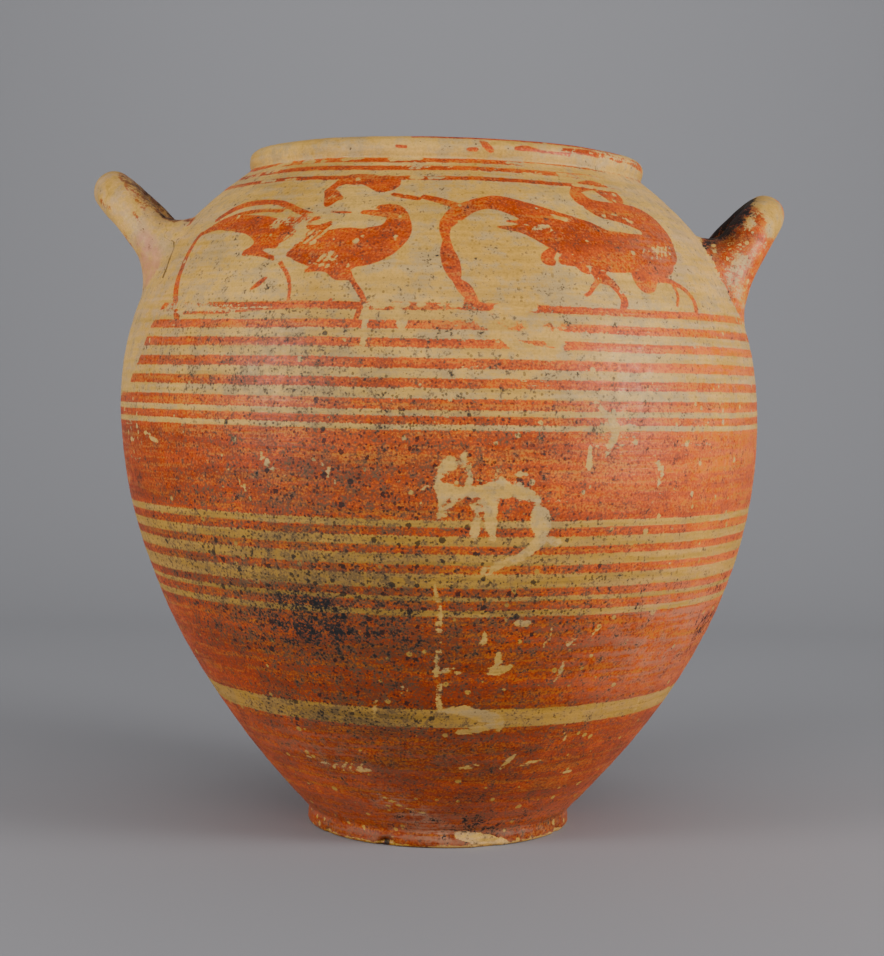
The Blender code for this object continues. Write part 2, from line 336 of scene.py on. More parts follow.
def handle(name, side, tip_radius, root_radius, flare, root_height, rise, reach, arch, flat_start):
    """A rod carried along half an ellipse, in a plane that rises away from the shoulder. Near the
    wall it swells as a round fillet: with d the distance to the wall and f the fillet's radius, it
    grows by f - sqrt(f^2 - (f - d)^2), worked out in rounds because d changes as the rod grows. The
    right handle mirrors the left one, so its triangles are turned round to face outward too."""
    root, out, across, up = handle_axes(side, root_height, rise)
    half = HANDLE_SPAN / 2
    turn = np.radians(np.linspace(-90, 90, ROD_STEPS + 1))
    let_in = -ROOT_DEPTH * np.linspace(1, 0, ROOT_STEPS)[:-1]
    path = np.concatenate([[(depth, -half) for depth in let_in],
                           np.stack([reach * np.cos(turn), half * np.sin(turn)], 1),
                           [(depth, half) for depth in let_in[::-1]]])
    share = np.clip(path[:, :1] / reach, 0, 1)
    centre = root + path[:, :1] * out + path[:, 1:] * across + arch * np.sin(math.pi * share) * up
    run = np.gradient(path, axis=0)
    run /= np.linalg.norm(run, axis=1)[:, None]
    outward = run[:, 1:] * out - run[:, :1] * across
    spin = math.tau * np.arange(ROD_SIDES) / ROD_SIDES
    radius = tip_radius + (root_radius - tip_radius) * np.abs(path[:, 1:]) / half
    rod = radius + flare * (1 - share) ** 2 * np.clip(-np.sin(spin), 0, None) ** 2
    spoke = outward[:, None] * np.cos(spin)[:, None] + up * np.sin(spin)[:, None]
    swell = np.zeros(rod.shape)
    for _ in range(FILLET_ROUNDS):
        points = centre[:, None] + (rod + swell)[..., None] * spoke
        near = np.clip(HANDLE_FILLET - clearance_to_body(points), 0, FILLET_END * HANDLE_FILLET)
        swell = (swell + HANDLE_FILLET - np.sqrt(HANDLE_FILLET**2 - near**2)) / 2

    ends = np.stack([points[0].mean(0), points[-1].mean(0)])
    corners = np.concatenate([ends[:1], points.reshape(-1, 3), ends[1:]])
    count = len(centre)
    rings = [np.zeros(1, int), *(1 + np.arange(count * ROD_SIDES).reshape(count, ROD_SIDES)),
             np.array([1 + count * ROD_SIDES])]
    along = np.repeat(np.linspace(*FLAT_ENDS, count), ROD_SIDES)
    around = np.tile(FLAT_START + FLAT_HEIGHT * np.arange(ROD_SIDES) / ROD_SIDES, count)
    places = np.concatenate([[(0, FLAT_START)], np.stack([along, around], 1),
                             [(sum(FLAT_ENDS), FLAT_START)]])
    places[:, 0] += flat_start
    return shell(name, sagged(corners), rings, places, -side)


left_handle = handle("left_handle", *LEFT_HANDLE, 0.0)
right_handle = handle("right_handle", *RIGHT_HANDLE, 0.5)


def joined(target, steps):
    """The target's mesh after each helper is joined to it or cut out of it; the helpers go."""
    for helper, operation in steps:
        step = target.modifiers.new(helper.name, "BOOLEAN")
        step.operation = operation
        step.solver = "MANIFOLD"
        step.object = helper
    bpy.context.view_layer.update()
    graph = bpy.context.evaluated_depsgraph_get()
    mesh = bpy.data.meshes.new_from_object(target.evaluated_get(graph))
    target.modifiers.clear()
    target.data = mesh
    for helper, _ in steps:
        bpy.data.objects.remove(helper)
    return mesh


clay_mesh = joined(jar, ((left_handle, "UNION"), (right_handle, "UNION"), (hollow, "DIFFERENCE")))

# The potter's and time's marks on the shape: wheel ridges, a slightly lumpy wall, chips out of the
# foot and lip, and fingers' dents in the handles. The jar still fills the solid's box exactly.
FLAT_UNDER = 0.0030
FLAT_FACING = 0.9
CHIP_FLOOR = 0.35
INSIDE_DEPTH = 0.003
HANDLE_SIDE = 0.1
HANDLE_CLEARANCE = (0.0004, 0.0030)
ROD_CLEARANCE = 0.0002
BLUR_WEIGHT = 0.7
BLUR_ROUNDS = 7
EASE_WEIGHT = 0.8
EASE_ROUNDS = 12
EDGE_GAIN = 6
# Each kind of unevenness: depth, shortest and longest wave, number of waves and seed. The last one
# makes the chips ragged, and its depth is a share of a chip's reach.
RIDGES = (0.00011, 0.004, 0.011, 9, 11)
LUMPS = (0.00022, 0.045, 0.140, 24, 12)
DENTS = (0.00028, 0.012, 0.030, 30, 13)
GRAIN = (0.00006, 0.006, 0.014, 30, 14)
RAGGED = (0.25, 0.002, 0.005, 12, 15)
# Each chip: turn from the front and height of its middle, how far it reaches and how deep it goes
CHIPS = (
    (-22, 0, 0.005, 0.0022), (21, 0.0004, 0.007, 0.0012), (-55, 0.0006, 0.0036, 0.001),
    (64, 0, 0.0045, 0.0013), (150, 0, 0.006, 0.0018), (-140, 0.006, 0.004, 0.001),
    (-31, 0.329, 0.0042, 0.0009), (12, 0.33, 0.0034, 0.0006), (47, 0.3232, 0.0038, 0.0008),
    (-76, 0.33, 0.005, 0.001), (118, 0.329, 0.005, 0.0011), (-160, 0.324, 0.0044, 0.0009),
)


def uneven(places, depth, shortest, longest, waves, seed):
    """A smooth uneven field from about -depth to depth: the sum of plane waves of random direction,
    length and phase."""
    random = np.random.default_rng(seed)
    direction = random.normal(size=(3, waves))
    direction *= math.tau / (np.linalg.norm(direction, axis=0) * random.uniform(shortest, longest, waves))
    phase = random.uniform(0, math.tau, waves)
    return depth * (np.sin(places @ direction + phase).sum(1) * math.sqrt(2 / waves) / 2)


def smoothly(value, start, end):
    """0 up to start and 1 from end on, with a soft S between."""
    share = np.clip((value - start) / (end - start), 0, 1)
    return share * share * (3 - 2 * share)


def corner_values(mesh, what, width):
    """This property of every corner, as rows of so many numbers."""
    values = np.empty(len(mesh.vertices) * width, np.float32)
    mesh.vertices.foreach_get(what, values)
    return values.reshape(-1, width).astype(float)


def eased(points, mesh, weight, rounds):
    """The corners after each has moved by its weight towards the mean of its neighbours, so often."""
    ends = np.empty(2 * len(mesh.edges), np.int32)
    mesh.edges.foreach_get("vertices", ends)
    here, there = np.concatenate([ends.reshape(-1, 2), ends.reshape(-1, 2)[:, ::-1]]).T
    count = np.bincount(here, minlength=len(points))[:, None]
    for _ in range(rounds):
        sums = [np.bincount(here, values[there], len(points)) for values in points.T]
        points = points + weight[:, None] * (np.stack(sums, 1) / count - points)
    return points


points = corner_values(clay_mesh, "co", 3)
home = unsagged(points)
# The roots' edges are smoothed over, as a wet finger does it. Corners move most where rod meets wall,
# which is where the blurred share b of rod and wall makes b (1 - b) large.
on_rod = (clearance_to_body(home) > ROD_CLEARANCE) & (np.abs(home[:, 0]) > HANDLE_SIDE)
blur_weight = np.full(len(points), BLUR_WEIGHT)
blurred = eased(on_rod[:, None].astype(float), clay_mesh, blur_weight, BLUR_ROUNDS)[:, 0]
edge = np.clip(EDGE_GAIN * blurred * (1 - blurred), 0, 1)
points = eased(points, clay_mesh, EASE_WEIGHT * edge, EASE_ROUNDS)
home = unsagged(points)
turn = np.arctan2(home[:, 0], -home[:, 1])
radius = np.hypot(home[:, 0], home[:, 1])
level = home[:, 2]
clearance = clearance_to_body(home)
on_handle = smoothly(clearance, *HANDLE_CLEARANCE) * (np.abs(home[:, 0]) > HANDLE_SIDE)
inside = (clearance < -INSIDE_DEPTH) & (level > HOLLOW_DEPTH + FLOOR / 2)
facing = corner_values(clay_mesh, "normal", 3)

# The wheel's ridges run round the jar, so they change with the level and hardly with the turn
wheel = np.stack([level + 0.0004 * np.sin(turn), level * 0.31, level * 0.17 + turn * 0.0006], 1)
push = uneven(wheel, *RIDGES) * (1 - on_handle) + uneven(home, *LUMPS)
push += uneven(home, *DENTS) * on_handle + uneven(home, *GRAIN)
for chip_turn, height, reach, depth in CHIPS:
    rim = FOOT_RADIUS if height < BELLY_HEIGHT else LIP_RADIUS
    chip_turn = math.radians(chip_turn)
    middle = np.array([rim * math.sin(chip_turn), -rim * math.cos(chip_turn), height])
    far = np.linalg.norm(home - middle, axis=1) / reach + uneven(home, *RAGGED)
    push -= depth * (1 - smoothly(far, CHIP_FLOOR, 1))
# The foot's flat underside stays flat, so the jar stands firm
push *= smoothly(level, 0, FLAT_UNDER) + (np.abs(facing[:, 2]) < FLAT_FACING) * (level < FLAT_UNDER)
points += push[:, None] * facing
points[:, 2] = np.maximum(points[:, 2], 0)

low, high = (np.array(corner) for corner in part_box("stamnos"))
points = low + (points - points.min(axis=0)) * (high - low) / np.ptp(points, axis=0)
clay_mesh.vertices.foreach_set("co", points.astype(np.float32).ravel())
clay_mesh.update()

# The picture on the shoulder. Two herons stand between the handles on each side, brushed on in thin
# orange slip before firing, each with a raised wing, a curled neck and long legs.
CURVE_STEPS = 7
FARTHEST = 0.012
TURN_REACH = 0.2
RISE_REACH = 0.02
# Every brush stroke is a row of knots in tenths: the turn from the front in tenths of a degree, and
# the height and half the brush's width in tenths of a millimetre.
LEFT_HERON = (
    ((-260, 3037, 20), (-242, 3007, 36), (-244, 2975, 20)), ((-222, 3000, 14), (-236, 3005, 24)),
    ((-260, 3049, 12), (-250, 3069, 19), (-234, 3091, 33), (-208, 3094, 39), (-182, 3094, 37),
     (-154, 3079, 47), (-132, 3072, 60), (-116, 3077, 30), (-110, 3084, 10)),
    ((-284, 2739, 7), (-270, 2756, 36), (-244, 2764, 74), (-214, 2766, 98), (-182, 2771, 108),
     (-152, 2771, 101), (-124, 2784, 97), (-100, 2808, 82), (-86, 2846, 70), (-84, 2888, 52),
     (-90, 2928, 40), (-104, 2950, 28), (-128, 2957, 13)), ((-276, 2900, 15), (-250, 2905, 10)),
    ((-266, 2868, 10), (-238, 2858, 21), (-220, 2880, 13)),
    ((-256, 2836, 15), (-224, 2818, 22), (-200, 2826, 31)),
    ((-158, 2933, 13), (-136, 2930, 16), (-112, 2925, 18), (-92, 2928, 22)),
    ((-228, 2938, 5), (-208, 2935, 6), (-184, 2933, 5)),
    ((-542, 2918, 13), (-512, 2957, 19), (-474, 2982, 19), (-426, 2990, 16), (-374, 2985, 13),
     (-334, 2965, 14), (-294, 2935, 14), (-272, 2930, 7)),
    ((-510, 2903, 10), (-480, 2928, 14), (-442, 2945, 10), (-400, 2950, 8), (-348, 2943, 9)),
    ((-320, 2913, 9), (-298, 2893, 16), (-284, 2910, 14)),
    ((-568, 2851, 9), (-540, 2873, 19), (-510, 2893, 34), (-476, 2898, 45), (-428, 2890, 49),
     (-386, 2875, 59), (-348, 2846, 75), (-322, 2838, 57), (-302, 2841, 28), (-284, 2836, 8)),
    ((-356, 2806, 29), (-334, 2794, 24), (-316, 2774, 6)),
    ((-570, 2853, 12), (-570, 2799, 15), (-566, 2741, 16), (-560, 2684, 16), (-552, 2617, 20),
     (-536, 2550, 19), (-524, 2503, 19), (-510, 2458, 15)),
    ((-386, 2754, 16), (-368, 2761, 23), (-336, 2741, 11), (-312, 2724, 10)),
    ((-372, 2799, 10), (-352, 2781, 12)),
    ((-294, 2704, 10), (-282, 2677, 8), (-268, 2637, 9), (-260, 2590, 7), (-258, 2540, 8)),
    ((-340, 2588, 6), (-328, 2610, 12), (-314, 2637, 6)),
    ((-238, 2664, 8), (-216, 2677, 12), (-196, 2672, 14), (-176, 2645, 18), (-154, 2642, 15)),
    ((-206, 2702, 13), (-176, 2679, 21), (-158, 2655, 19)),
    ((-154, 2645, 11), (-142, 2607, 9), (-130, 2568, 11), (-122, 2535, 9)),
    ((-128, 2523, 8), (-130, 2493, 10), (-134, 2458, 10)), ((-184, 2528, 9), (-180, 2543, 6)),
)
RIGHT_HERON = (
    ((-108, 3019, 10), (-70, 3005, 13), (-50, 2997, 10)),
    ((-40, 3007, 14), (-14, 2995, 17), (10, 2980, 17), (40, 2960, 16)),
    ((8, 2826, 19), (6, 2861, 23), (12, 2893, 33), (28, 2928, 41), (50, 2960, 36), (78, 2982, 36),
     (110, 2990, 44), (142, 2975, 51), (168, 2955, 59), (194, 2930, 74), (218, 2898, 94), (254, 2871, 102),
     (294, 2851, 97), (334, 2831, 78), (382, 2828, 72), (428, 2826, 67)),
    ((108, 2875, 6), (136, 2873, 13), (160, 2868, 23), (188, 2851, 39), (218, 2841, 71), (248, 2826, 90),
     (286, 2806, 102), (326, 2786, 105), (372, 2786, 96), (420, 2796, 108), (452, 2791, 105)),
    ((128, 2905, 5), (154, 2898, 12), (184, 2893, 26)),
    ((480, 2836, 104), (492, 2903, 104), (478, 2950, 95), (432, 2975, 78), (390, 2985, 63), (350, 2995, 56),
     (328, 3019, 44), (316, 3044, 44), (318, 3074, 24), (340, 3096, 30), (382, 3109, 37), (408, 3094, 57),
     (426, 3069, 59), (442, 3054, 22)),
    ((390, 2717, 43), (390, 2672, 66), (406, 2667, 32), (422, 2689, 18)),
    ((204, 2776, 20), (192, 2744, 29), (200, 2729, 19)), ((224, 2739, 25), (242, 2729, 17)),
    ((248, 2724, 11), (260, 2704, 20), (270, 2687, 6)),
    ((278, 2694, 10), (292, 2672, 29), (310, 2647, 17), (324, 2605, 15), (330, 2563, 18), (318, 2511, 9)),
    ((292, 2669, 13), (276, 2635, 10), (262, 2597, 8), (252, 2585, 6)),
    ((426, 2679, 17), (464, 2667, 11), (496, 2635, 11), (512, 2592, 13), (510, 2535, 13)),
    ((462, 2657, 7), (468, 2612, 8), (456, 2560, 6)),
    ((10, 2816, 14), (12, 2761, 28), (18, 2712, 36), (24, 2669, 31), (28, 2635, 15)),
    ((30, 2626, 16), (42, 2597, 28), (52, 2565, 23), (58, 2540, 19)),
    ((38, 2528, 11), (58, 2528, 21), (76, 2520, 13), (92, 2523, 5)), ((86, 2498, 6), (86, 2493, 5)),
)
# The far side has two more herons, the same ones turned round and short of a few strokes
LEFT_BACK_TURN = 186
RIGHT_BACK_TURN = 176


def up_the_wall(height):
    """How far up the outside a height lies, measured along the wall; straight up on foot and lip."""
    beyond = height - np.clip(height, FOOT_HEIGHT, NECK_HEIGHT)
    return np.interp(height, outline[:, 1], outline_arc) + beyond


arc_length = up_the_wall(level)


def curved(knots):
    """More knots on a smooth curve through the given ones, whose run at each knot is half the step
    from the knot before it to the knot after it."""
    knots = np.array(knots, float)
    ends = np.concatenate([2 * knots[:1] - knots[1:2], knots, 2 * knots[-1:] - knots[-2:-1]])
    before, start, end, after = (ends[k:len(knots) - 1 + k, None] for k in range(4))
    t = np.linspace(0, 1, CURVE_STEPS, endpoint=False)[None, :, None]
    line = 0.5 * (2 * start + (end - before) * t + (2 * before - 5 * start + 4 * end - after) * t**2
                  + (3 * start - before - 3 * end + after) * t**3)
    return np.concatenate([line.reshape(-1, knots.shape[1]), knots[-1:]])


def from_strokes(strokes, turned_by=0, places=None):
    """Each corner's distance to the nearest edge of these strokes, less than 0 under a stroke: the
    distance to each straight piece of a stroke's middle line, less half the brush's width there. It
    counts up to FARTHEST, and each stroke is only worked out for the corners within its reach.
    Strokes lie around the body, or on the plane of places, which are across, up and size; their
    knots are then in tenths of a millimetre across as well."""
    distance = np.full(len(level), FARTHEST)
    place, rise, size = places or (turn, arc_length, radius)
    for knots in strokes:
        line = curved(knots) / 10
        line[:, 1:] /= 1000
        if places:
            line[:, 0] /= 1000
            offset = place - line[:, 0].mean()
        else:
            line[:, 0] = np.radians(line[:, 0] + turned_by)
            line[:, 1] = up_the_wall(line[:, 1])
            offset = (place - line[:, 0].mean() + math.pi) % math.tau - math.pi
        close = (np.abs(offset) < np.ptp(line[:, 0]) / 2 + TURN_REACH) & ~inside
        close &= (rise > line[:, 1].min() - RISE_REACH) & (rise < line[:, 1].max() + RISE_REACH)
        close = np.flatnonzero(close)
        best = distance[close]
        for start, end in zip(line, line[1:]):
            across = (offset[close] + line[:, 0].mean() - start[0]) * size[close]
            up = rise[close] - start[1]
            run_across, run_up = (end[0] - start[0]) * size[close], end[1] - start[1]
            share = np.clip((across * run_across + up * run_up) / (run_across**2 + run_up**2 + 1e-12), 0, 1)
            gap = np.hypot(across - share * run_across, up - share * run_up)
            best = np.minimum(best, gap - start[2] - share * (end[2] - start[2]))
        distance[close] = best
    return distance


# Dabs and drips of slip that strayed onto the lip and by a handle, and a line that was begun twice
STRAY_SLIP = (
    ((-494, 2488, 9), (-420, 2486, 9), (-376, 2491, 8)),
    ((-360, 2493, 7), (-320, 2501, 8), (-282, 2506, 9), (-252, 2508, 6)),
    ((-134, 3253, 6), (-108, 3250, 6)), ((90, 3283, 4), (106, 3263, 15), (120, 3243, 10)),
    ((56, 3245, 6), (80, 3245, 8)), ((186, 3260, 7), (218, 3263, 12), (252, 3258, 6)),
    ((258, 3255, 4), (352, 3253, 7)), ((-100, 3300, 3), (200, 3302, 6), (600, 3302, 8)),
    ((330, 3274, 6), (448, 3273, 14), (568, 3267, 14), (722, 3265, 18), (780, 3252, 14)),
    ((1500, 3260, 8), (1580, 3250, 16), (1700, 3256, 6)),
    ((-734, 2952, 12), (-718, 2918, 22), (-704, 2888, 9)),
)
painted = np.minimum.reduce([from_strokes(LEFT_HERON + RIGHT_HERON + STRAY_SLIP),
                             from_strokes(LEFT_HERON[:4] + LEFT_HERON[7:], LEFT_BACK_TURN),
                             from_strokes(RIGHT_HERON[1:], RIGHT_BACK_TURN)])

# Where the slip has flaked or worn off, and the scratches, are given as strokes of the same kind.
LOSSES = (
    ((16, 1897, 3), (16, 1882, 15), (22, 1872, 10)), ((42, 1912, 4), (40, 1892, 15), (36, 1875, 13)),
    ((-6, 1868, 6), (-4, 1838, 11), (2, 1818, 14), (8, 1843, 21), (12, 1863, 8)),
    ((-2, 1783, 16), (2, 1748, 24), (14, 1743, 28), (28, 1731, 23), (46, 1738, 26), (74, 1738, 27)),
    ((14, 1825, 17), (24, 1845, 10), (40, 1858, 10), (46, 1840, 14), (46, 1803, 17), (50, 1773, 17)),
    ((80, 1751, 26), (78, 1696, 30), (80, 1637, 27), (82, 1589, 21), (84, 1540, 16)),
    ((6, 1719, 20), (2, 1676, 12), (-4, 1612, 10)), ((26, 1696, 10), (12, 1659, 11), (-2, 1622, 13)),
    ((52, 1684, 10), (68, 1679, 11)), ((50, 1654, 7), (70, 1652, 10)),
    ((56, 1614, 18), (56, 1577, 19), (56, 1542, 11)),
    ((92, 1838, 6), (92, 1805, 10), (98, 1768, 28), (98, 1733, 26)),
    ((106, 1738, 22), (120, 1746, 27), (134, 1733, 29), (148, 1719, 24), (158, 1691, 18)),
    ((158, 1674, 22), (162, 1637, 43), (164, 1599, 47), (170, 1570, 24)),
    ((176, 1545, 16), (162, 1515, 26), (146, 1485, 19), (128, 1448, 14), (102, 1418, 9), (70, 1381, 9)),
    ((122, 1818, 10), (132, 1808, 15), (144, 1800, 7)), ((198, 1520, 14), (180, 1532, 21)),
    ((-32, 1724, 7), (-26, 1736, 8)), ((-22, 1756, 7), (-16, 1753, 4)), ((-32, 1681, 8), (-32, 1678, 7)),
    ((140, 1936, 8), (142, 1934, 7)), ((170, 1818, 7), (170, 1781, 4)),
    ((242, 1834, 10), (245, 1880, 15), (242, 1935, 5)),
    ((-120, 2520, 7), (-118, 2440, 12), (-119, 2350, 10)),
    ((-68, 2500, 13), (-59, 2460, 22), (-59, 2405, 7)), ((68, 2460, 20), (96, 2424, 26), (126, 2350, 24)),
    ((150, 2440, 24), (170, 2410, 26), (196, 2370, 24)),
    ((120, 2360, 24), (155, 2330, 30), (200, 2320, 20)),
    ((-278, 2851, 11), (-280, 2818, 19), (-288, 2781, 23), (-302, 2736, 23)),
    ((-108, 2523, 13), (-68, 2523, 13)), ((-56, 2525, 9), (-48, 2525, 9)),
    ((-206, 3096, 9), (-202, 3091, 7)), ((-84, 2818, 8), (-84, 2816, 7)),
    ((-198, 2749, 12), (-196, 2751, 10)),
    ((-510, 2506, 4), (-422, 2501, 6), (-370, 2501, 5), (-324, 2508, 3), (-288, 2511, 3)),
    ((-58, 2525, 13), (-50, 2525, 13)), ((-30, 2525, 12), (-24, 2528, 13)),
    ((24, 2530, 11), (36, 2535, 11)), ((96, 2516, 20), (156, 2525, 19)), ((60, 2451, 12), (62, 2451, 12)),
    ((84, 2451, 12), (84, 2451, 12)), ((108, 2453, 12), (120, 2453, 12)),
    ((142, 2456, 16), (168, 2458, 14)), ((190, 2458, 12), (198, 2458, 12)),
    ((212, 2744, 7), (210, 2729, 7)), ((188, 2980, 4), (196, 2972, 4)), ((224, 2940, 6), (264, 2923, 7)),
    ((192, 2890, 7), (208, 2890, 9)), ((176, 2880, 7), (186, 2871, 10)), ((282, 2833, 4), (296, 2843, 6)),
    ((252, 2123, 5), (276, 2069, 18), (290, 2004, 21), (280, 1930, 11), (268, 1875, 4)),
    ((368, 1885, 7), (386, 1828, 16), (382, 1750, 7)), ((372, 2975, 5), (400, 2966, 9), (436, 2938, 5)),
    ((-6, 742, 9), (40, 746, 22), (90, 722, 34), (126, 694, 32), (134, 654, 16)),
    ((-800, 3161, 16), (-622, 3168, 16), (-482, 3196, 16)), ((-418, 3193, 13), (-386, 3193, 13)),
    ((-352, 3191, 12), (-342, 3191, 12)), ((-286, 3196, 15), (-230, 3201, 15)),
    ((-146, 3196, 15), (-68, 3198, 15)), ((164, 3193, 8), (246, 3189, 13), (600, 3182, 19)),
    ((-84, 3152, 12), (-66, 3152, 12)), ((302, 3154, 10), (486, 3146, 17), (800, 3150, 19)),
    ((-504, 3104, 12), (-456, 3102, 12)), ((-414, 3099, 12), (-382, 3098, 12)),
    ((-78, 3102, 12), (-54, 3102, 12)), ((-34, 3102, 12), (-2, 3102, 12)),
    ((324, 3104, 10), (458, 3099, 15), (800, 3100, 18)), ((42, 636, 16), (80, 646, 20), (110, 660, 16)),
    ((94, 938, 12), (112, 940, 24), (136, 960, 9)), ((110, 1020, 8), (108, 986, 16), (112, 950, 20)),
    ((90, 70, 22), (140, 54, 28), (200, 38, 26), (304, 6, 14)),
    ((-404, 455, 3), (-326, 424, 9), (-270, 420, 5), (-232, 416, 8), (-174, 395, 3)),
    ((-364, 400, 3), (-310, 376, 7), (-250, 384, 3)), ((-194, 281, 5), (-134, 231, 8), (-34, 182, 6)),
    ((52, 446, 4), (82, 456, 10), (120, 467, 4)), ((166, 435, 5), (182, 480, 14), (196, 516, 5)),
    ((224, 452, 5), (266, 466, 9), (290, 462, 3)), ((360, 380, 4), (400, 384, 9), (430, 382, 3)),
    ((312, 620, 3), (334, 522, 5)), ((-200, 740, 3), (-188, 681, 4), (-164, 626, 3)),
    ((-138, 798, 3), (-154, 686, 5)), ((520, 740, 3), (540, 649, 6)),
    ((76, 1126, 5), (78, 1086, 13), (72, 1056, 4)),
    ((-10, 1330, 6), (-4, 1240, 9), (-4, 1120, 9), (-6, 1010, 9), (-12, 920, 10)),
    ((-4, 870, 9), (-6, 750, 8)), ((-8, 930, 8), (15, 945, 12), (34, 926, 9)),
    ((-90, 890, 4), (-80, 865, 10), (-70, 840, 5)), ((62, 1398, 3), (128, 1465, 3.5), (196, 1508, 3)),
    ((190, 1200, 3), (206, 1120, 5), (194, 1040, 3)), ((-600, 1950, 6), (-570, 1925, 13), (-540, 1905, 5)),
    ((-300, 1900, 5), (-280, 1830, 13), (-250, 1790, 5)),
    ((-190, 1860, 5), (-176, 1810, 16), (-164, 1760, 5)),
    ((-350, 1780, 4), (-330, 1720, 10), (-320, 1660, 4)), ((132, 1165, 9), (146, 1156, 19), (160, 1164, 9)),
    ((236, 880, 5), (244, 940, 12), (248, 990, 4)), ((1500, 1800, 20), (1580, 1720, 50), (1660, 1760, 30)),
    ((-1500, 1100, 10), (-1400, 1000, 26), (-1280, 1040, 10)),
    ((1700, 2400, 20), (1760, 2360, 40), (1840, 2410, 20)),
    ((1200, 600, 10), (1280, 540, 20), (1340, 570, 10)),
    ((-1720, 300, 10), (-1660, 240, 22), (-1580, 260, 10)),
)
# Rows of short scratches, in tenths too: turn and height of the first one's start, how far it runs,
# the step from one to the next, half their width, and then how many there are
SCRATCHES = (
    (-365, 2860, 30, 65, 11, 3, 4.2, 9), (-310, 2800, 22, 60, 13, -3, 4, 6),
    (-225, 2685, -34, 55, 13, 1, 3.6, 6), (-250, 3000, 16, 40, 10, 8, 1.8, 4),
    (160, 2895, 32, -26, 18, -6, 2, 4), (400, 2760, 25, 60, 15, 4, 3.6, 7),
    (-420, 1760, 10, 90, 26, -5, 1.8, 5), (220, 1020, 30, 70, 19, 14, 2, 4),
    (-360, 440, 30, -40, 24, 2, 3, 7), (440, 1400, -20, 80, 22, 10, 1.8, 5),
)
SCRATCHED = tuple(((first + k * step_turn, height + k * step_up, width),
                   (first + k * step_turn + run_turn, height + k * step_up + run_up, width / 2))
                  for first, height, run_turn, run_up, step_turn, step_up, width, count in SCRATCHES
                  for k in range(count))
# The clay under the left handle was never coated: its bare patch starts at these turns and heights
BARE_EDGE_HEIGHTS = (0.2070, 0.2098, 0.2168, 0.2265, 0.2347, 0.2439, 0.2528, 0.2580)
BARE_EDGE_TURNS = (-90.0, -79.0, -68.0, -63.5, -61.8, -60.2, -57.8, -57.0)
BARE_TOP = 0.262

lost = from_strokes(LOSSES + SCRATCHED)
# The bare patch is as wide behind the handle as in front of it
bare_edge = np.interp(level, BARE_EDGE_HEIGHTS, BARE_EDGE_TURNS)
bare_width = (90 + bare_edge) * (level > BARE_EDGE_HEIGHTS[0]) * (level < BARE_EDGE_HEIGHTS[-1])
beside = (np.abs(np.degrees(turn) + 90) - bare_width) * math.pi / 180 * radius
below = BARE_EDGE_HEIGHTS[0] - level
bare = np.where(level > BARE_TOP, FARTHEST, np.maximum(beside, below))
lost = np.minimum(lost, np.clip(bare, -FARTHEST, FARTHEST))


def patches(spots, base):
    """A value for each corner: the base and soft round spots added to it. Each spot: turn and
    height of its middle in degrees and mm, its spread in degrees and mm, and its amount."""
    value = np.full(len(level), float(base))
    for spot_turn, height, wide, tall, amount in spots:
        off = (np.degrees(turn) - spot_turn + 180) % 360 - 180
        value += amount * np.exp(-(off / wide) ** 2 - ((level * 1000 - height) / tall) ** 2)
    return value


# How much of the slip survives, from 0 to 1; how burnt it is, from orange to brown, with the handles'
# painted shade added below; how many black specks it has; how dark it is with soot, with the handles'
# painted shade added below too; and how much pale dust lies on it
survival = patches((
    (12, 245, 14, 8, -0.26), (12, 222, 12, 14, -0.12), (10, 176, 16, 16, -0.1), (-48, 240, 14, 20, -0.06),
    (6, 110, 22, 26, -0.05), (52, 240, 10, 26, -0.05), (20, 316, 24, 6, -0.14), (-60, 316, 30, 5, -0.14),
    (66, 314, 22, 7, -0.42), (-28, 288, 5, 7, -0.14), (2, 253, 4, 3, -0.25), (0, 0.6, 180, 1.6, -0.34),
    (-66, 190, 9, 14, -0.14), (48, 200, 7, 12, -0.14), (-34, 44, 12, 6, -0.12), (-50, 252, 13, 3.4, -0.3),
    (62, 326, 26, 5, -0.26), (28, 200, 5, 11, -0.24), (-22, 138, 30, 14, -0.12),
), 0.9)
burnt_and_shaded = patches((
    (-45, 105, 34, 50, 0.25), (0, 95, 34, 36, 0.36), (10, 40, 60, 40, 0.36), (-60, 180, 34, 40, 0.27),
    (-14, 176, 26, 16, 0.14), (62, 150, 30, 70, -0.18), (50, 235, 34, 40, -0.22), (0, 290, 70, 24, 0.12),
    (-50, 225, 30, 30, -0.05), (180, 110, 60, 60, 0.3), (0, 3, 180, 9, 0.5),
), 0.26)
specked = patches((
    (-22, 118, 22, 34, 0.75), (-16, 176, 30, 32, 0.46), (-34, 228, 30, 26, 0.34), (16, 125, 24, 36, 0.5),
    (-52, 135, 22, 34, 0.5), (0, 280, 60, 26, 0.08), (0, 326, 200, 7, -0.14), (14, 205, 34, 34, 0.26),
    (0, 55, 60, 30, 0.26), (30, 10, 30, 10, 0.35), (-4, 250, 40, 12, 0.18), (-26, 70, 30, 7, 0.58),
    (170, 130, 50, 60, 0.45),
), 0.12)
specked *= 1 - on_handle
soot_and_shade = patches((
    (-27, 127, 9, 7, 0.3), (-20, 112, 15, 14, 0.48), (-30, 110, 11, 12, 0.26), (-2, 122, 14, 8, 0.2),
    (12, 100, 18, 16, 0.18), (68, 110, 10, 22, 0.5), (22, 8, 26, 9, 0.32), (-12, 12, 18, 10, 0.24),
    (8, 30, 14, 8, 0.12), (160, 90, 34, 34, 0.34), (-23, 0.4, 3.4, 1.8, 0.95), (-30.5, 259, 1.4, 2.4, 0.5),
    (9, 279, 2, 2, 0.4), (-62, 150, 10, 30, 0.12),
), 0)
